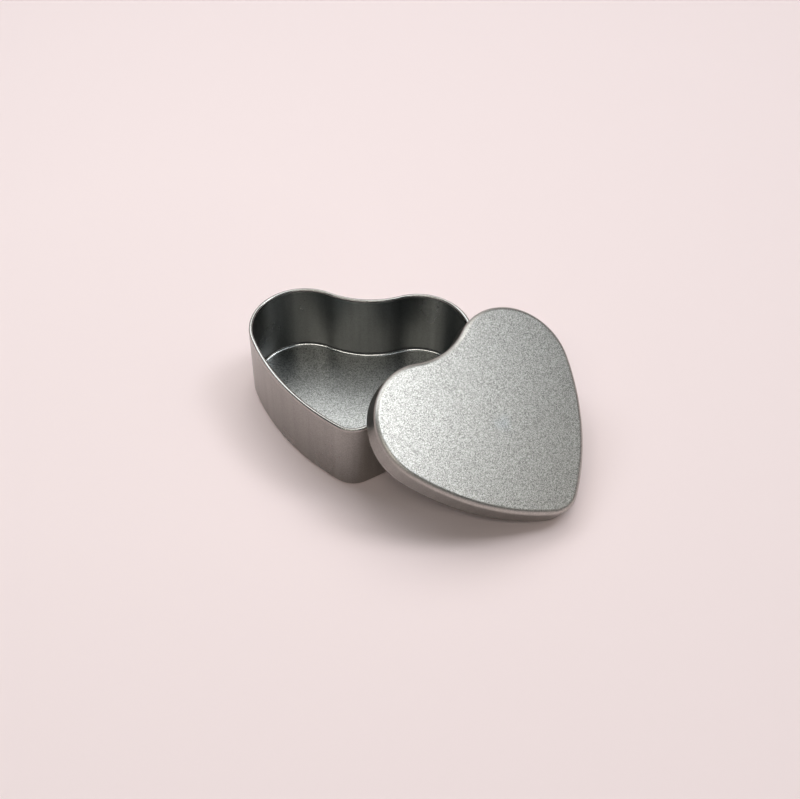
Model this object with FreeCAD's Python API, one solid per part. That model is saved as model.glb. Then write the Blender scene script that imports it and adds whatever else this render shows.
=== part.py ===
import FreeCAD, Part
import math
import os
from collections import namedtuple

from FreeCAD import Placement, Rotation, Vector

# Heart-shaped tin of drawn tinplate, stood open: the cup is on the table and the lid leans on its rim.
# Lengths are millimetres and angles are degrees. The origin is on the table under the middle of the cup,
# with +Z up and +Y from the heart's tip towards its notch.

# Heart outline, on the outside of the cup's wall: two lobes, the notch between them, two flanks and the tip
CUP_WIDTH = 66.0
CUP_LENGTH = 55.0
LOBE_RADIUS = 16.0
NOTCH_RADIUS = 26.5
FLANK_RADIUS = 70.0
TIP_RADIUS = 7.5

# Sheet that both pieces are drawn from, and how far its free edges are rolled
SHEET = 0.3
CURL_TURN = 270.0

# Cup, with the inside radius of its foot edge and the hollow inside its curled rim
CUP_HEIGHT = 24.7
FOOT_INSIDE_RADIUS = 0.9
RIM_CURL_HOLLOW = 0.6

# Lid, with the inside radius of its top edge, the hollow inside its curled skirt and the play on the cup
LID_HEIGHT = 7.3
LID_INSIDE_RADIUS = 1.1
LID_CURL_HOLLOW = 1.2
SLIP_GAP = 0.5

# Leaning lid: the way that it slopes down, how far its tip is turned off that way, how far it would lie over
# the cup's side if it were level, its middle's place across the slope, and the space left where it rests
LEAN_BEARING = -34.4
LID_TWIST = -7.1
LEAN_OVERLAP = 16.27
LEAN_SIDE = 9.0
LEAN_GAP = 0.1
LEAN_TOLERANCE = 0.001

# Sizes that follow
RIM_BEAD = RIM_CURL_HOLLOW + 2 * SHEET
LID_BEAD = LID_CURL_HOLLOW + 2 * SHEET
LID_OFFSET = SLIP_GAP + LID_BEAD

ORIGIN = Vector(0, 0, 0)
X_AXIS = Vector(1, 0, 0)
Y_AXIS = Vector(0, 1, 0)
Z_AXIS = Vector(0, 0, 1)
QUARTER_TURN = 90.0
HALF_TURN = 180.0

# One arc of the outline, anticlockwise about its centre. side is 1 where it bulges out and -1 in the notch.
OutlineArc = namedtuple("OutlineArc", "centre radius side start sweep")


def heading(step):
    """Angle of a step in the XY plane."""
    return math.degrees(math.atan2(step.y, step.x))


def circles_meet(first, first_radius, second, second_radius):
    """The meeting point of two circles in the XY plane that lies to the left, going from first to second."""
    step = second - first
    along = (step.Length ** 2 + first_radius ** 2 - second_radius ** 2) / (2 * step.Length)
    aside = math.sqrt(first_radius ** 2 - along ** 2)
    forward = step.normalize()
    return first + forward * along + Z_AXIS.cross(forward) * aside


def heart_arcs(offset):
    """The outline moved out by offset, as tangent arcs: the right flank and lobe, the notch, and so round."""
    lobe = Vector(CUP_WIDTH / 2 - LOBE_RADIUS, CUP_LENGTH / 2 - LOBE_RADIUS, 0)
    tip = Vector(0, TIP_RADIUS - CUP_LENGTH / 2, 0)
    flank = circles_meet(tip, FLANK_RADIUS - TIP_RADIUS, lobe, FLANK_RADIUS - LOBE_RADIUS)
    notch = Vector(0, lobe.y + math.sqrt((NOTCH_RADIUS + LOBE_RADIUS) ** 2 - lobe.x ** 2), 0)
    at_tip = heading(tip - flank)
    at_lobe = heading(lobe - flank)
    at_notch = heading(notch - lobe)
    left_lobe = Vector(-lobe.x, lobe.y, 0)
    left_flank = Vector(-flank.x, flank.y, 0)
    lobe_sweep = at_notch - at_lobe
    flank_sweep = at_lobe - at_tip
    return [
        OutlineArc(flank, FLANK_RADIUS + offset, 1, at_tip, flank_sweep),
        OutlineArc(lobe, LOBE_RADIUS + offset, 1, at_lobe, lobe_sweep),
        OutlineArc(notch, NOTCH_RADIUS - offset, -1, -at_notch, 2 * at_notch - HALF_TURN),
        OutlineArc(left_lobe, LOBE_RADIUS + offset, 1, HALF_TURN - at_notch, lobe_sweep),
        OutlineArc(left_flank, FLANK_RADIUS + offset, 1, HALF_TURN - at_lobe, flank_sweep),
        OutlineArc(tip, TIP_RADIUS + offset, 1, HALF_TURN - at_tip, HALF_TURN + 2 * at_tip),
    ]


def heart_line(offset, height):
    """The outline moved out by offset, as a closed wire at a height."""
    up = Vector(0, 0, height)
    edges = [
        Part.makeCircle(arc.radius, arc.centre + up, Z_AXIS, arc.start, arc.start + arc.sweep)
        for arc in heart_arcs(offset)
    ]
    return Part.Wire(Part.__sortEdges__(edges))


def bend(centre, radius, start, end):
    """Arc in the XZ plane about centre, from one angle to another."""
    turns = [math.radians(angle) for angle in (start, (start + end) / 2, end)]
    return Part.Arc(*[centre + Vector(math.cos(turn), 0, math.sin(turn)) * radius for turn in turns])


def sheet_section(height, inside_radius, curl_hollow):
    """Face of the bent sheet where it stands, its outside on X = 0: the edge bend, the wall and the curl."""
    edge_radius = inside_radius + SHEET
    curl_radius = curl_hollow / 2 + SHEET
    edge_centre = Vector(-edge_radius, 0, edge_radius)
    curl_centre = Vector(-curl_radius, 0, height - curl_radius)
    bends = [
        bend(edge_centre, edge_radius, -QUARTER_TURN, 0),
        bend(curl_centre, curl_radius, 0, CURL_TURN),
        bend(curl_centre, curl_hollow / 2, CURL_TURN, 0),
        bend(edge_centre, inside_radius, 0, -QUARTER_TURN),
    ]
    following = bends[1:] + bends[:1]
    straights = [Part.makeLine(one.EndPoint, other.StartPoint) for one, other in zip(bends, following)]
    edges = [arc.toShape() for arc in bends] + straights
    return Part.Face(Part.Wire(Part.__sortEdges__(edges)))


def carried(section, arc):
    """The section carried along one arc of the outline."""
    if arc.side < 0:
        section = section.mirror(ORIGIN, X_AXIS)
    run = section.translated(X_AXIS * arc.radius).revolve(ORIGIN, Z_AXIS, arc.sweep)
    return run.rotated(ORIGIN, Z_AXIS, arc.start).translated(arc.centre)


def drawn_shell(offset, height, inside_radius, curl_hollow):
    """Sheet drawn to a heart-shaped cup, mouth up, with its free edge curled inwards into a bead."""
    section = sheet_section(height, inside_radius, curl_hollow)
    wall = [carried(section, arc) for arc in heart_arcs(offset)]
    outline = heart_line(offset - inside_radius - SHEET, 0)
    panel = Part.Face(outline).extrude(Z_AXIS * SHEET)
    return panel.fuse(wall).removeSplitter().Solids[0]


def base_cup():
    """The cup, standing on its flat floor."""
    return drawn_shell(0, CUP_HEIGHT, FOOT_INSIDE_RADIUS, RIM_CURL_HOLLOW)


def flat_lid():
    """The lid laid mouth down: the same drawn form, turned over."""
    drawn = drawn_shell(LID_OFFSET, LID_HEIGHT, LID_INSIDE_RADIUS, LID_CURL_HOLLOW)
    return drawn.rotated(ORIGIN, Y_AXIS, HALF_TURN).translated(Z_AXIS * LID_HEIGHT)


def placed(shape, placement):
    """A copy of a shape, carried along by a placement."""
    copy = shape.copy()
    copy.Placement = placement * copy.Placement
    return copy


def lean_placement():
    """Where the lid comes to rest: stood on its low edge, it tips over until the cup or the table stops it.

    Each step turns the lid by so little that none of its points moves further than the space that is left.
    """
    rim = heart_line(-RIM_BEAD / 2, CUP_HEIGHT - RIM_BEAD / 2)
    cup_wall = heart_line(0, 0).extrude(Z_AXIS * (CUP_HEIGHT - RIM_BEAD / 2))
    skirt = heart_line(LID_OFFSET - LID_BEAD / 2, LID_BEAD / 2)
    underside = Part.Face(heart_line(LID_OFFSET - SHEET, LID_HEIGHT - SHEET))

    spin = Placement(ORIGIN, Rotation(Z_AXIS, QUARTER_TURN + LID_TWIST))
    spread = placed(skirt, spin).BoundBox
    pivot = Vector(spread.XMax, 0, LID_BEAD / 2)
    swing = Placement(ORIGIN, Rotation(Z_AXIS, LEAN_BEARING))
    cup_side = placed(heart_line(0, 0), swing.inverse()).BoundBox.XMax
    slide = Placement(Vector(cup_side - LEAN_OVERLAP - spread.XMin, LEAN_SIDE, 0), Rotation())
    swept_radius = math.hypot(spread.XLength, LID_HEIGHT)

    lean = QUARTER_TURN
    while True:
        tip_over = Placement(ORIGIN, Rotation(Y_AXIS, lean), pivot)
        placement = swing * slide * tip_over * spin
        spaces = [
            placed(skirt, placement).distToShape(rim)[0] - (LID_BEAD + RIM_BEAD) / 2,
            placed(skirt, placement).distToShape(cup_wall)[0] - LID_BEAD / 2,
            placed(underside, placement).distToShape(rim)[0] - RIM_BEAD / 2,
        ]
        spare = min(spaces) - LEAN_GAP
        if spare < LEAN_TOLERANCE or lean == 0:
            print(f"the lid leans at {lean:.2f} degrees")
            return placement
        lean = max(lean - math.degrees(spare / swept_radius), 0)


pieces = {
    "base_cup": base_cup(),
    "lid": placed(flat_lid(), lean_placement()),
}
os.makedirs("parts", exist_ok=True)
for name, piece in pieces.items():
    piece.exportStep(f"parts/{name}.step")
    print(f"{name}: {piece.Volume:.1f} cubic mm of sheet, valid {piece.isValid()}")
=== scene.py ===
# %% [markdown]
# # A heart-shaped tin
# The tin is two pieces of drawn tinplate: a cup with a rolled rim, and a slip-on lid that leans on it.
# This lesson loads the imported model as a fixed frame, makes both pieces again as smooth surfaces, and
# gives them the finish of rolled and drawn tinplate. The frame's bodies carry the pieces, so the lid
# still lifts.

# %% The frame
import math

import bpy
import numpy as np
from mathutils import Matrix, Vector


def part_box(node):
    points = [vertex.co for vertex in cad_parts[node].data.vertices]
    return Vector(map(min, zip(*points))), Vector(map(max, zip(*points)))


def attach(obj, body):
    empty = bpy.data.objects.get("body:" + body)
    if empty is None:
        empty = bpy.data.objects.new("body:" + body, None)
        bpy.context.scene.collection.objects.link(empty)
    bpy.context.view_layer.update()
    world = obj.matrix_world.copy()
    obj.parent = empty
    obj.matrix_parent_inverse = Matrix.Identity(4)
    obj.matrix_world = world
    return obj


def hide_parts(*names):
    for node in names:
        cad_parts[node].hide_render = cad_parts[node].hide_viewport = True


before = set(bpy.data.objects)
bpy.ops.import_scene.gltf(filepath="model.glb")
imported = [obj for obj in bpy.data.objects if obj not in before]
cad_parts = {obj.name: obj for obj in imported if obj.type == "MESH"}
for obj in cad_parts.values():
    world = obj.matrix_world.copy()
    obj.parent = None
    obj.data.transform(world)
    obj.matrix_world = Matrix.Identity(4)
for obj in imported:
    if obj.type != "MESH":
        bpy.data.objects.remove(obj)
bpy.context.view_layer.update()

# %% [markdown]
# ## The outline
# Both pieces are drawn over heart-shaped tools, so one outline serves the whole tin: two round lobes, a
# shallow notch between them, two long flanks and a small round tip. It could be traced as a free curve,
# but six arcs that run into each other without a corner need only a few radii, and moving such an
# outline in or out by the thickness of the sheet only changes the radii. The width and the length are
# measured on the frame's cup.

# %% Outline of the cup's wall
MM = 0.001
LOBE_RADIUS = 16 * MM
NOTCH_RADIUS = 26.5 * MM
FLANK_RADIUS = 70 * MM
TIP_RADIUS = 7.5 * MM

cup_low, cup_high = [np.array(corner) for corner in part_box("base_cup")]
CUP_WIDTH, CUP_LENGTH, CUP_HEIGHT = cup_high - cup_low


def circles_meet(first, first_radius, second, second_radius):
    """The point at both radii, to the left of the way from first to second, by the cosine rule."""
    step = second - first
    along = (abs(step) ** 2 + first_radius ** 2 - second_radius ** 2) / (2 * abs(step))
    aside = math.sqrt(first_radius ** 2 - along ** 2)
    return first + step / abs(step) * complex(along, aside)


def heart_arcs():
    """Centre, radius, side, start and sweep of the six arcs, anticlockwise, as columns of numbers.

    Centres are complex numbers x + iy. A flank touches the tip and a lobe from outside, so its centre is a
    flank radius less their own radii from theirs. The side is 1 on a bulge and -1 in the notch.
    """
    lobe = complex(CUP_WIDTH / 2 - LOBE_RADIUS, CUP_LENGTH / 2 - LOBE_RADIUS)
    tip = complex(0, TIP_RADIUS - CUP_LENGTH / 2)
    flank = circles_meet(tip, FLANK_RADIUS - TIP_RADIUS, lobe, FLANK_RADIUS - LOBE_RADIUS)
    notch = complex(0, lobe.imag + math.sqrt((NOTCH_RADIUS + LOBE_RADIUS) ** 2 - lobe.real ** 2))
    at_tip, at_lobe, at_notch = np.angle([tip - flank, lobe - flank, notch - lobe])
    centre = np.array([flank, lobe, notch, -lobe.conjugate(), -flank.conjugate(), tip])
    radius = np.array([FLANK_RADIUS, LOBE_RADIUS, NOTCH_RADIUS, LOBE_RADIUS, FLANK_RADIUS, TIP_RADIUS])
    side = np.array([1, 1, -1, 1, 1, 1])
    start = np.array([
        at_tip,
        at_lobe,
        at_notch + np.pi,
        np.pi - at_notch,
        np.pi - at_lobe,
        np.pi - at_tip,
    ])
    sweep = np.array([
        at_lobe - at_tip,
        at_notch - at_lobe,
        np.pi - 2 * at_notch,
        at_notch - at_lobe,
        at_lobe - at_tip,
        np.pi + 2 * at_tip,
    ])
    return centre, radius, side, start, sweep


ARC_CENTRE, ARC_RADIUS, ARC_SIDE, ARC_START, ARC_SWEEP = heart_arcs()
print("outline", round(float(np.sum(ARC_RADIUS * np.abs(ARC_SWEEP))) / MM, 2), "mm round")

# %% Points on the outline
COLUMNS = 512
TURN_WEIGHT = 6 * MM


def outline_points(out):
    """Complex points of the outline moved out by each value of `out`, one row per value.

    Each arc gets columns by its length plus a weight times its turn, so that the tip is not left coarse.
    On an arc the point is centre + (radius + side * out) * (cos a + i sin a).
    """
    weight = np.cumsum(np.abs(ARC_SWEEP) * (ARC_RADIUS + TURN_WEIGHT))
    place = np.arange(COLUMNS) / COLUMNS * weight[-1]
    arc = np.searchsorted(weight, place, side="right")
    before = np.concatenate([[0], weight])[arc]
    angle = ARC_START[arc] + ARC_SWEEP[arc] * (place - before) / (weight[arc] - before)
    reach = ARC_RADIUS[arc] + ARC_SIDE[arc] * np.asarray(out)[:, None]
    return ARC_CENTRE[arc] + reach * np.exp(1j * angle)


line = outline_points([0])[0]
print("outline", np.round([np.ptp(line.real) / MM, np.ptp(line.imag) / MM], 3), "mm wide and long")

# %% [markdown]
# ## The drawn sheet
# Cup and lid are the same thing at two sizes: a flat panel, a tight bend, a straight wall and an edge
# that is rolled inwards through three quarters of a turn, so that no raw edge is left to cut a finger.
# A solid with a bevel would look alike from outside, but the tin stands open, so the sheet has its real
# thickness here. The section is a line of rows, from the middle of the outside, round the rolled edge,
# to the middle of the inside. Rows close together beside each bend keep the flat faces flat in the
# shading. Each row also says how the tools worked the sheet there: how far it was drawn, burnished or
# stretched, and whether it is lacquered.

# %% Section of the sheet
SHEET = 0.3 * MM
CURL_TURN = 270
PANEL_ROWS = 14
BEND_ROWS = 14
WALL_ROWS = 10
CURL_ROWS = 24
CURL_POLISH = 0.4


def rows(share, out, up, drawn=0.0, burnished=0.0, stretched=0.0, lacquered=0.0):
    """A run of the section: reach from the middle, offset from the outline, height and marks of working."""
    return np.stack(np.broadcast_arrays(share, out, up, drawn, burnished, stretched, lacquered), axis=1)


def panel_rows(edge, up, **finish):
    """Flat panel: the share of the way out follows a sine, which crowds the last rows at the bend."""
    way = np.sin(np.linspace(0, np.pi / 2, PANEL_ROWS + 1)[1:-1])
    return rows(way, -edge, up, **finish)


def bend_rows(centre_out, centre_up, radius, start, end, count, **finish):
    """Arc in the section: centre plus radius times (cos, sin) of evenly spaced angles."""
    angle = np.radians(np.linspace(start, end, count + 1))
    return rows(1.0, centre_out + radius * np.cos(angle), centre_up + radius * np.sin(angle), **finish)


def wall_rows(out, start, end, **finish):
    """Straight wall: heights eased at both ends by 3t^2 - 2t^3, so that rows crowd beside the bends."""
    way = np.linspace(0, 1, WALL_ROWS + 1)[1:-1]
    ease = way ** 2 * (3 - 2 * way)
    return rows(1.0, out, start + (end - start) * ease, drawn=1.0, **finish)


def sheet_section(height, inside_radius, curl_hollow):
    """Rows of the section, mouth up: out along the outside, round the curl and back along the inside."""
    edge = inside_radius + SHEET
    hollow = curl_hollow / 2
    curl = hollow + SHEET
    curl_up = height - curl
    way = np.linspace(0, 1, BEND_ROWS + 1)
    lacquer_ends = np.linspace(1, 0, CURL_ROWS + 1)
    rolled_finish = {"drawn": 1.0, "burnished": CURL_POLISH, "lacquered": lacquer_ends}
    outside_finish = {"drawn": way, "stretched": np.sin(np.pi * way), "lacquered": 1.0}
    inside_finish = {"drawn": way[::-1], "burnished": np.sin(np.pi * way)}
    return np.concatenate([
        panel_rows(edge, 0, lacquered=1.0),
        bend_rows(-edge, edge, edge, -90, 0, BEND_ROWS, **outside_finish),
        wall_rows(0, edge, curl_up, lacquered=1.0),
        bend_rows(-curl, curl_up, curl, 0, CURL_TURN, CURL_ROWS, **rolled_finish),
        bend_rows(-curl, curl_up, hollow, CURL_TURN, 0, CURL_ROWS, drawn=1.0),
        wall_rows(-SHEET, curl_up, edge),
        bend_rows(-edge, edge, inside_radius, 0, -90, BEND_ROWS, **inside_finish),
        panel_rows(edge, SHEET)[::-1],
    ])


print("section", len(sheet_section(CUP_HEIGHT, MM, MM)), "rows,", COLUMNS, "columns")

# %% [markdown]
# ## From rows to a mesh
# A grid of rows and columns closes on itself round the heart, and one point in the middle of each panel
# closes its ends. The faces are made from the numbers of the points as whole arrays. Each point also
# keeps where it was in the piece's own frame, mouth up, and how the tools worked the sheet there. The
# finishes read these, so grain and draw lines belong to the sheet and lean over together with the lid.

# %% Mesh of a drawn piece
SHARP_ANGLE = math.radians(40)
MARKS = ("drawn", "burnished", "stretched", "lacquered")
FIRST_MARK = 3


def drawn_points(section, offset):
    """Own-frame points of the section carried round the outline, plus the two middles of the panels.

    A point is share times the outline moved out by offset + out, at the section's height.
    """
    share, out, up = section[:, 0], section[:, 1], section[:, 2]
    flat = share[:, None] * outline_points(offset + out)
    grid = np.stack([flat.real, flat.imag, np.broadcast_to(up[:, None], flat.shape)], axis=2)
    middles = np.array([[0, 0, up[0]], [0, 0, up[-1]]])
    return np.concatenate([grid.reshape(-1, 3), middles])


def grid_faces(row_count):
    """Quads between neighbouring rows and columns, and a fan of triangles at each end."""
    column = np.arange(COLUMNS)
    beside = (column + 1) % COLUMNS
    foot = np.arange(row_count - 1)[:, None] * COLUMNS
    head = foot + COLUMNS
    quads = np.stack([foot + column, foot + beside, head + beside, head + column], axis=2)
    last = (row_count - 1) * COLUMNS
    middle = row_count * COLUMNS
    first_fan = np.stack([np.full(COLUMNS, middle), beside, column], axis=1)
    last_fan = np.stack([last + column, last + beside, np.full(COLUMNS, middle + 1)], axis=1)
    return quads.reshape(-1, 4).tolist() + first_fan.tolist() + last_fan.tolist()


def drawn_piece(name, section, own_points, points):
    """Smooth mesh object of the points. Each keeps its own-frame place and its marks of working."""
    mesh = bpy.data.meshes.new(name)
    mesh.from_pydata(points, [], grid_faces(len(section)))
    mesh.shade_smooth()
    mesh.set_sharp_from_angle(angle=SHARP_ANGLE)
    place = mesh.attributes.new("drawn_place", "FLOAT_VECTOR", "POINT")
    place.data.foreach_set("vector", own_points.ravel())
    for label, marks in zip(MARKS, section[:, FIRST_MARK:].T):
        mark = mesh.attributes.new(label, "FLOAT", "POINT")
        mark.data.foreach_set("value", np.append(np.repeat(marks, COLUMNS), [0, 0]))
    mesh.validate()
    piece = bpy.data.objects.new(name, mesh)
    bpy.context.collection.objects.link(piece)
    print(name, len(mesh.vertices), "points,", len(mesh.polygons), "faces")
    return piece


# %% [markdown]
# ## The cup
# The cup stands on its flat floor, mouth up, which is the way the section is written, so its own frame
# is the tin's frame. Its foot bend is tight and its rim is a slim roll.

# %% Cup
FOOT_INSIDE_RADIUS = 0.9 * MM
RIM_CURL_HOLLOW = 0.6 * MM

cup_section = sheet_section(CUP_HEIGHT, FOOT_INSIDE_RADIUS, RIM_CURL_HOLLOW)
cup_points = drawn_points(cup_section, 0)
tin_cup = drawn_piece("tin_cup", cup_section, cup_points, cup_points)
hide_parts("base_cup")
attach(tin_cup, "cup")

# %% [markdown]
# ## The lid
# The lid is drawn on the same outline, moved out by its own rolled edge and the play that lets it slip
# over the cup. Here it lies mouth down, with its high edge on the cup's rim. Only its turns are written
# here: it is turned over, twisted in its own plane, tipped by its lean and swung to its bearing. Where
# it lies is read from the frame, by setting the low corner of the turned points on the low corner of
# the frame's lid.

# %% Lid
LID_HEIGHT = 7.3 * MM
LID_INSIDE_RADIUS = 1.1 * MM
LID_CURL_HOLLOW = 1.2 * MM
SLIP_GAP = 0.5 * MM
LID_OFFSET = SLIP_GAP + LID_CURL_HOLLOW + 2 * SHEET
LID_TWIST = -7.1
LID_LEAN = 26.69
LID_BEARING = -34.4
QUARTER_TURN = 90
HALF_TURN = 180


def turned(points, angle, axis):
    """Points turned about an axis through the origin, by an angle in degrees."""
    turn = np.array(Matrix.Rotation(math.radians(angle), 3, axis))
    return points @ turn.T


lid_low, lid_high = [np.array(corner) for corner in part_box("lid")]
lid_section = sheet_section(LID_HEIGHT, LID_INSIDE_RADIUS, LID_CURL_HOLLOW)
lid_own = drawn_points(lid_section, LID_OFFSET)
lid_points = turned(lid_own, HALF_TURN, "Y")
for angle, axis in ((QUARTER_TURN + LID_TWIST, "Z"), (LID_LEAN, "Y"), (LID_BEARING, "Z")):
    lid_points = turned(lid_points, angle, axis)
lid_points += lid_low - lid_points.min(axis=0)
far_corner = lid_points.max(axis=0)
print("lid's far corner is off the frame's by", np.round((far_corner - lid_high) / MM, 3), "mm")

tin_lid = drawn_piece("tin_lid", lid_section, lid_own, lid_points)
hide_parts("lid")
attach(tin_lid, "lid")

# %% [markdown]
# ## Node groups for the finishes
# Tinplate leaves the rolling mill with a fine matt grain. Drawing it into a cup stretches the walls,
# which wipes most of the grain away and leaves faint upright lines. Use adds small pits and dull
# patches. Cup and lid share these effects, so each is a node group that gives out tones, heights or
# masks, and the materials mix them by the marks of working.

# %% Helpers for node trees
def linked(tree, kind, settings=None, **inputs):
    """A new node with properties from settings. Inputs are values, or output sockets to link.

    An input is called by its label, with _ for a space, or by i and its number where labels repeat.
    """
    node = tree.nodes.new(kind)
    for label, value in (settings or {}).items():
        setattr(node, label, value)
    for label, value in inputs.items():
        key = int(label[1:]) if label[1:].isdigit() else label.replace("_", " ")
        socket = node.inputs[key]
        if isinstance(value, bpy.types.NodeSocket):
            tree.links.new(value, socket)
        else:
            socket.default_value = value
    return node


def maths(tree, operation, first, second=0.0):
    """Result of a Math node on two values or sockets."""
    return linked(tree, "ShaderNodeMath", {"operation": operation}, i0=first, i1=second).outputs[0]


def ranged(tree, value, low, high, to_low, to_high):
    """A value carried from one range to another, and held inside it."""
    node = linked(tree, "ShaderNodeMapRange", i0=value, i1=low, i2=high, i3=to_low, i4=to_high)
    return node.outputs[0]


def new_group(name, inputs, outputs):
    """Empty node group. Inputs are (name, kind, start value) and outputs are names of values."""
    tree = bpy.data.node_groups.new(name, "ShaderNodeTree")
    for label, kind, value in inputs:
        socket = tree.interface.new_socket(label, in_out="INPUT", socket_type=kind)
        if value is not None:
            socket.default_value = value
    for label in outputs:
        tree.interface.new_socket(label, in_out="OUTPUT", socket_type="NodeSocketFloat")
    source = tree.nodes.new("NodeGroupInput").outputs
    sink = tree.nodes.new("NodeGroupOutput").inputs
    return tree, source, sink


# %% [markdown]
# The mill grain is small bright and dark flecks over a fine, soft mottle. The cells of a Voronoi
# texture give the flecks and a noise gives the mottle. An image would blur close up, and these don't.

# %% Group for the mill grain
NOISE_LOW = 0.3
NOISE_HIGH = 0.7
MOTTLE_SHARE = 0.2
MOTTLE_LAYERS = 2.0
MOTTLE_LAYER_SHARE = 0.6


def mill_grain_group():
    """Tone and height of the rolled grain. Size is the width of one fleck in metres."""
    tree, source, sink = new_group(
        "mill_grain",
        [("Place", "NodeSocketVector", None), ("Size", "NodeSocketFloat", 0.4 * MM)],
        ["Tone", "Height"],
    )
    pitch = maths(tree, "DIVIDE", 1.0, source["Size"])
    mottle = linked(
        tree,
        "ShaderNodeTexNoise",
        Vector=source["Place"],
        Scale=pitch,
        Detail=MOTTLE_LAYERS,
        Roughness=MOTTLE_LAYER_SHARE,
    )
    fleck = linked(tree, "ShaderNodeTexVoronoi", Vector=source["Place"], Scale=pitch)
    fleck_tone = linked(tree, "ShaderNodeSeparateColor", Color=fleck.outputs["Color"]).outputs["Red"]
    mottle_tone = ranged(tree, mottle.outputs["Fac"], NOISE_LOW, NOISE_HIGH, 0.0, 1.0)
    mottled = maths(tree, "MULTIPLY", mottle_tone, MOTTLE_SHARE)
    flecked = maths(tree, "MULTIPLY", fleck_tone, 1.0 - MOTTLE_SHARE)
    tree.links.new(maths(tree, "ADD", mottled, flecked), sink["Tone"])
    tree.links.new(mottle_tone, sink["Height"])
    return tree


MILL_GRAIN = mill_grain_group()
print("node group", MILL_GRAIN.name)

# %% [markdown]
# Draw lines run up the walls, the way that the sheet slid between punch and die. They are a noise that
# is squeezed along the piece's own height, so it changes round the wall and hardly at all up it. The
# noise itself gives broad soft bands, and its finer layers give the lines between them.

# %% Group for the draw lines
DRAW_SQUEEZE = 0.03
LINE_LAYERS = 3.0
LINE_LAYER_SHARE = 0.5


def draw_lines_group():
    """Tone and height of upright lines on a drawn wall. Width is that of one line in metres."""
    tree, source, sink = new_group(
        "draw_lines",
        [("Place", "NodeSocketVector", None), ("Width", "NodeSocketFloat", 1.5 * MM)],
        ["Tone", "Height"],
    )
    squeezed = linked(tree, "ShaderNodeMapping", Vector=source["Place"], Scale=(1, 1, DRAW_SQUEEZE))
    pitch = maths(tree, "DIVIDE", 1.0, source["Width"])
    lines = linked(
        tree,
        "ShaderNodeTexNoise",
        Vector=squeezed.outputs[0],
        Scale=pitch,
        Detail=LINE_LAYERS,
        Roughness=LINE_LAYER_SHARE,
    )
    tone = ranged(tree, lines.outputs["Fac"], NOISE_LOW, NOISE_HIGH, 0.0, 1.0)
    tree.links.new(tone, sink["Tone"])
    tree.links.new(lines.outputs["Fac"], sink["Height"])
    return tree


DRAW_LINES = draw_lines_group()
print("node group", DRAW_LINES.name)

# %% [markdown]
# A used tin has a few tiny dark pits, where the tin coat was nicked, and dull patches where fingers
# were. A random number in each Voronoi cell picks the few cells that have a pit, and a large soft noise
# gives the patches.

# %% Group for pits and handling
PIT_CORE = 0.5
PATCH_LAYERS = 4.0


def handling_group():
    """Mask of small pits, and a soft patchy tone. Spacing is the mean distance between places for a pit."""
    tree, source, sink = new_group(
        "handling",
        [
            ("Place", "NodeSocketVector", None),
            ("Spacing", "NodeSocketFloat", 3.0 * MM),
            ("Pit Width", "NodeSocketFloat", 0.3 * MM),
            ("Pit Share", "NodeSocketFloat", 0.1),
            ("Patch Size", "NodeSocketFloat", 14 * MM),
        ],
        ["Pits", "Patches"],
    )
    pitch = maths(tree, "DIVIDE", 1.0, source["Spacing"])
    cells = linked(tree, "ShaderNodeTexVoronoi", Vector=source["Place"], Scale=pitch)
    chance = linked(tree, "ShaderNodeSeparateColor", Color=cells.outputs["Color"]).outputs["Green"]
    picked = maths(tree, "LESS_THAN", chance, source["Pit Share"])
    two_cells = maths(tree, "MULTIPLY", source["Spacing"], 2.0)
    pit_radius = maths(tree, "DIVIDE", source["Pit Width"], two_cells)
    way_out = maths(tree, "DIVIDE", cells.outputs["Distance"], pit_radius)
    dot = ranged(tree, way_out, PIT_CORE, 1.0, 1.0, 0.0)
    tree.links.new(maths(tree, "MULTIPLY", dot, picked), sink["Pits"])
    patch_pitch = maths(tree, "DIVIDE", 1.0, source["Patch Size"])
    patch = linked(
        tree, "ShaderNodeTexNoise", Vector=source["Place"], Scale=patch_pitch, Detail=PATCH_LAYERS)
    patches = ranged(tree, patch.outputs["Fac"], NOISE_LOW, NOISE_HIGH, 0.0, 1.0)
    tree.links.new(patches, sink["Patches"])
    return tree


HANDLING = handling_group()
print("node group", HANDLING.name)

# %% [markdown]
# ## Tinplate
# Tinplate is steel with a thin bright coat of tin. It is all metal, so it shows what it mirrors, dulled
# to grey. One even grey would be simpler, but the tools leave their marks: flat panels keep the full
# grain and walls little of it. The outside of a bend is stretched over the die, which opens its
# surface, so it is paler and more matt and the light along the lid's edge is broad. The inside bend and
# the rolled edges are burnished, so they are brighter and smoother. A clear lacquer outside gives a
# warm cast, and the inside is bare.

# %% Tinplate material
DARK_TIN = (0.105, 0.105, 0.105, 1.0)
BRIGHT_TIN = (0.505, 0.505, 0.505, 1.0)
PIT_TIN = (0.05, 0.048, 0.045, 1.0)
BARE_CAST = (0.985, 1.0, 0.985, 1.0)
LACQUER_CAST = (1.0, 0.965, 0.905, 1.0)
BURNISHED_TIN = (0.68, 0.68, 0.68, 1.0)
MIDDLE_TONE = 0.5
GRAIN_SIZE = 0.21 * MM
GRAIN_DEPTH = 0.0087 * MM
WALL_GRAIN = 0.25
BAND_WIDTH = 2.2 * MM
BAND_DEPTH = 0.008 * MM
BAND_TONE = 0.12
BURNISH_SMOOTH = 0.20
STRETCH_SHINE = 0.35
STRETCH_MATT = 0.12
PATCH_MATT = 0.02


def mixed(tree, share, first, second):
    """Colour between two colours."""
    node = linked(tree, "ShaderNodeMix", {"data_type": "RGBA"}, i0=share, i6=first, i7=second)
    return node.outputs[2]


def tinted(tree, colour, cast):
    """A colour seen through the cast of a clear coat: the two multiplied."""
    settings = {"data_type": "RGBA", "blend_type": "MULTIPLY"}
    return linked(tree, "ShaderNodeMix", settings, i0=1.0, i6=colour, i7=cast).outputs[2]


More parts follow.
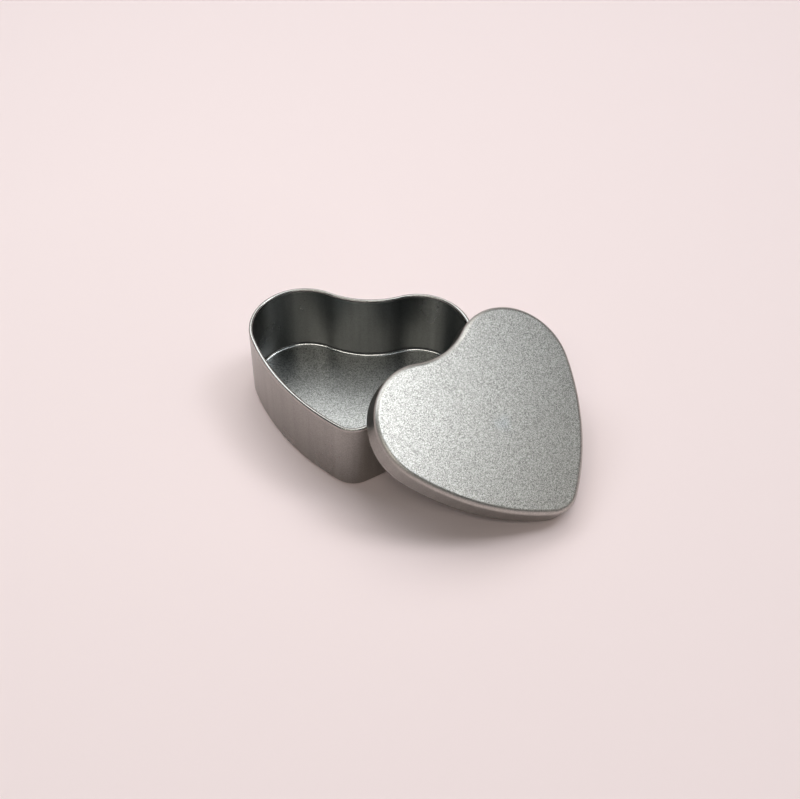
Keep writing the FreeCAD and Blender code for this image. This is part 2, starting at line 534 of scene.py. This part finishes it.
def grouped(tree, group, **inputs):
    """A placed node group with its own values."""
    return linked(tree, "ShaderNodeGroup", {"node_tree": group}, **inputs)


def marked(tree, label):
    """Value of one of the marks of working, read from the points of the mesh."""
    return linked(tree, "ShaderNodeAttribute", {"attribute_name": label}).outputs["Fac"]


def off_middle(tree, tone, amount):
    """How far a tone is from the middle tone, times an amount."""
    return maths(tree, "MULTIPLY", maths(tree, "SUBTRACT", tone, MIDDLE_TONE), amount)


def tinplate(name, panel_roughness, wall_roughness, pit_share):
    """Tinplate with its own roughness on panels and on walls, and its share of pits."""
    material = bpy.data.materials.new(name)
    material.use_nodes = True
    tree = material.node_tree
    shader = tree.nodes["Principled BSDF"]
    shader.inputs["Metallic"].default_value = 1.0

    place = linked(tree, "ShaderNodeAttribute", {"attribute_name": "drawn_place"}).outputs["Vector"]
    drawn, burnished, stretched, lacquered = [marked(tree, label) for label in MARKS]
    grain = grouped(tree, MILL_GRAIN, Place=place, Size=GRAIN_SIZE).outputs
    bands = grouped(tree, DRAW_LINES, Place=place, Width=BAND_WIDTH).outputs
    handled = grouped(tree, HANDLING, Place=place, Pit_Share=pit_share).outputs

    grain_amount = ranged(tree, drawn, 0.0, 1.0, 1.0, WALL_GRAIN)
    grain_tone = off_middle(tree, grain["Tone"], grain_amount)
    band_tone = maths(tree, "MULTIPLY", off_middle(tree, bands["Tone"], drawn), BAND_TONE)
    tone = maths(tree, "ADD", MIDDLE_TONE, maths(tree, "ADD", grain_tone, band_tone))
    cast = mixed(tree, lacquered, BARE_CAST, LACQUER_CAST)
    milled = mixed(tree, tone, DARK_TIN, BRIGHT_TIN)
    stretch_shine = maths(tree, "MULTIPLY", stretched, STRETCH_SHINE)
    shine = maths(tree, "ADD", maths(tree, "POWER", burnished, 2.0), stretch_shine)
    brightened = mixed(tree, shine, milled, BURNISHED_TIN)
    clean = tinted(tree, brightened, cast)
    tree.links.new(mixed(tree, handled["Pits"], clean, PIT_TIN), shader.inputs["Base Color"])

    milled_matt = ranged(tree, drawn, 0.0, 1.0, panel_roughness, wall_roughness)
    handled_matt = maths(tree, "ADD", milled_matt, off_middle(tree, handled["Patches"], PATCH_MATT))
    opened = maths(tree, "ADD", handled_matt, maths(tree, "MULTIPLY", stretched, STRETCH_MATT))
    smoothed = maths(tree, "SUBTRACT", opened, maths(tree, "MULTIPLY", burnished, BURNISH_SMOOTH))
    tree.links.new(smoothed, shader.inputs["Roughness"])

    grain_height = maths(tree, "MULTIPLY", grain["Height"], grain_amount)
    band_height = maths(tree, "MULTIPLY", bands["Height"], drawn)
    bump = linked(tree, "ShaderNodeBump", Strength=1.0, Distance=GRAIN_DEPTH, Height=grain_height)
    bump = linked(
        tree,
        "ShaderNodeBump",
        Strength=1.0,
        Distance=BAND_DEPTH,
        Height=band_height,
        Normal=bump.outputs[0],
    )
    tree.links.new(bump.outputs[0], shader.inputs["Normal"])
    print("material", name, len(tree.nodes), "nodes")
    return material


cup_tinplate = tinplate("cup_tinplate", panel_roughness=0.34, wall_roughness=0.28, pit_share=0.05)
lid_tinplate = tinplate("lid_tinplate", panel_roughness=0.29, wall_roughness=0.29, pit_share=0.08)
tin_cup.data.materials.append(cup_tinplate)
tin_lid.data.materials.append(lid_tinplate)

# %% [markdown]
# ## Floor
# The tin stands on smooth pale pink paper. A matt plane takes its shadow. A pool of light is painted into
# the paper's colour: it is palest to the left of the tin, and a painted shade darkens it slowly from
# there, like paper near a window. The lamps don't reach much further, so the paper fades out to nothing
# and shows the backdrop behind it. A sheet that ran on to the horizon would end in a dark band.

# %% Paper floor
FLOOR_REACH = 0.8
FADE_FROM = 0.22
FADE_TO = 0.5
PAPER = (0.925, 0.777, 0.767, 1.0)
# Paper colour in painted shade, away from the painted pool of light.
PAINTED_SHADE_PAPER = (0.82, 0.688, 0.684, 1.0)
PAINTED_POOL_MIDDLE = (-0.06, 0.03, 0.0)
PAINTED_POOL_FROM = 0.08
PAINTED_POOL_TO = 0.34
PAPER_ROUGHNESS = 0.9
PAPER_SPECULAR = 0.1

floor_corners = np.array([[-1, -1, 0], [1, -1, 0], [1, 1, 0], [-1, 1, 0]]) * FLOOR_REACH
floor_mesh = bpy.data.meshes.new("paper_floor")
floor_mesh.from_pydata(floor_corners, [], [(0, 1, 2, 3)])
paper_floor = bpy.data.objects.new("paper_floor", floor_mesh)
bpy.context.collection.objects.link(paper_floor)
paper = bpy.data.materials.new("paper")
paper.use_nodes = True
paper_tree = paper.node_tree
paper_shader = paper_tree.nodes["Principled BSDF"]
paper_shader.inputs["Roughness"].default_value = PAPER_ROUGHNESS
paper_shader.inputs["Specular IOR Level"].default_value = PAPER_SPECULAR
from_tin = linked(paper_tree, "ShaderNodeTexCoord").outputs["Object"]
# Painted pool of light: the paper's colour darkens to painted shade with distance from a point left of the
# tin.
from_painted_pool = linked(
    paper_tree, "ShaderNodeVectorMath", {"operation": "DISTANCE"}, i0=from_tin, i1=PAINTED_POOL_MIDDLE)
far = ranged(paper_tree, from_painted_pool.outputs["Value"], PAINTED_POOL_FROM, PAINTED_POOL_TO, 0.0, 1.0)
paper_tree.links.new(mixed(paper_tree, far, PAPER, PAINTED_SHADE_PAPER), paper_shader.inputs["Base Color"])
distance = linked(paper_tree, "ShaderNodeVectorMath", {"operation": "LENGTH"}, i0=from_tin)
fade = linked(
    paper_tree,
    "ShaderNodeMapRange",
    {"interpolation_type": "SMOOTHSTEP"},
    i0=distance.outputs["Value"],
    i1=FADE_FROM,
    i2=FADE_TO,
)
clear = linked(paper_tree, "ShaderNodeBsdfTransparent")
faded = linked(
    paper_tree,
    "ShaderNodeMixShader",
    i0=fade.outputs[0],
    i1=paper_shader.outputs[0],
    i2=clear.outputs[0],
)
paper_tree.links.new(faded.outputs[0], paper_tree.nodes["Material Output"].inputs["Surface"])
floor_mesh.materials.append(paper)
print("floor", 2 * FLOOR_REACH, "m wide")

# %% [markdown]
# ## Light
# Dull metal is mostly a picture of its surroundings, so the light is planned by what the surfaces
# mirror. Two panels hang over the back: the left one lights the paper, and the front of the cup's floor
# mirrors the other. The lid's top mirrors the right edge of a small strong box at the upper right, and
# that edge is what fades across the lid. A weak warm box further right keeps the lid's darker side from
# going black, and a box overhead fills the lid's upper bends. A narrow box above the camera lightens
# the shadows from steeply above, so the paper just under the lid's edge stays dark. One large lamp
# would be simpler, but it would make the lid as bright on the right as on the left.

# %% Soft boxes
BOX_HEIGHT = 1.8
COOL = (0.955, 1.0, 1.035)
NEUTRAL = (1.0, 1.0, 0.97)
WARM = (1.06, 1.0, 0.90)


def soft_box(name, centre, length, width, radiance, colour):
    """Level lamp, facing down and hidden from the camera. Its power is radiance times pi times its area."""
    light = bpy.data.lights.new(name, "AREA")
    light.shape = "RECTANGLE"
    light.size = length
    light.size_y = width
    light.energy = radiance * math.pi * length * width
    light.color = colour
    lamp = bpy.data.objects.new(name, light)
    lamp.location = (*centre, BOX_HEIGHT)
    lamp.visible_camera = False
    bpy.context.collection.objects.link(lamp)
    print(name, round(light.energy, 2), "W")


soft_box("left_panel", centre=(-1.50, 1.32), length=1.65, width=1.8, radiance=3.2, colour=COOL)
soft_box("back_panel", centre=(0.0, 1.28), length=1.35, width=1.8, radiance=2.35, colour=NEUTRAL)
soft_box("lid_box", centre=(1.10, 0.40), length=0.74, width=0.6, radiance=8.8, colour=COOL)
soft_box("overhead_box", centre=(0.35, 0.30), length=0.8, width=0.8, radiance=2.5, colour=COOL)
soft_box("front_box", centre=(-0.30, -1.17), length=1.8, width=0.54, radiance=3.5, colour=WARM)
soft_box("right_box", centre=(2.40, 0.00), length=1.4, width=1.2, radiance=0.7, colour=WARM)

# %% [markdown]
# The room beyond the lamps is dim. Below and a little above the horizon stands a pale backdrop, in the
# colour that the paper has under the lamps. Light Path gives it only to rays from the camera and off
# the metal, so it is seen and mirrored but lights nothing.

# %% World
ROOM = (0.05, 0.065, 0.07, 1.0)
BACKDROP = (0.87, 0.745, 0.735, 1.0)
BACKDROP_TOP = 0.15
ROOM_FROM = 0.45

world = bpy.data.worlds.new("room")
world.use_nodes = True
bpy.context.scene.world = world
sky = world.node_tree
direction = linked(sky, "ShaderNodeTexCoord").outputs["Generated"]
up = linked(sky, "ShaderNodeSeparateXYZ", Vector=direction).outputs["Z"]
low = ranged(sky, up, BACKDROP_TOP, ROOM_FROM, 1.0, 0.0)
ray = linked(sky, "ShaderNodeLightPath").outputs
mirrored = maths(sky, "MAXIMUM", ray["Is Glossy Ray"], ray["Is Transmission Ray"])
seen = maths(sky, "MAXIMUM", ray["Is Camera Ray"], mirrored)
backdrop_share = maths(sky, "MULTIPLY", low, seen)
sky.links.new(mixed(sky, backdrop_share, ROOM, BACKDROP), sky.nodes["Background"].inputs["Color"])
print("world", world.name)

# %% [markdown]
# ## Camera
# The camera looks down at the open tin from the front. Its place is written as a photographer would say
# it: what it looks at, from which side, how high, how far and how much it is rolled.

# %% Camera
VIEW_TARGET = Vector((12.27, 5.98, 0.0)) * MM
VIEW_AZIMUTH = 1.421
VIEW_ELEVATION = 49.097
VIEW_DISTANCE = 360.28 * MM
VIEW_ROLL = 1.8965
LENS = 52.936
SENSOR = 36.0

camera_data = bpy.data.cameras.new("camera")
camera_data.sensor_width = SENSOR
camera_data.lens = LENS
camera = bpy.data.objects.new("camera", camera_data)
camera.matrix_world = (
    Matrix.Translation(VIEW_TARGET)
    @ Matrix.Rotation(math.radians(VIEW_AZIMUTH), 4, "Z")
    @ Matrix.Rotation(math.radians(QUARTER_TURN - VIEW_ELEVATION), 4, "X")
    @ Matrix.Rotation(math.radians(VIEW_ROLL), 4, "Z")
    @ Matrix.Translation((0, 0, VIEW_DISTANCE))
)
bpy.context.collection.objects.link(camera)
bpy.context.scene.camera = camera
bpy.context.scene.view_settings.view_transform = "Standard"
print("camera at", [round(v / MM, 1) for v in camera.matrix_world.translation], "mm")
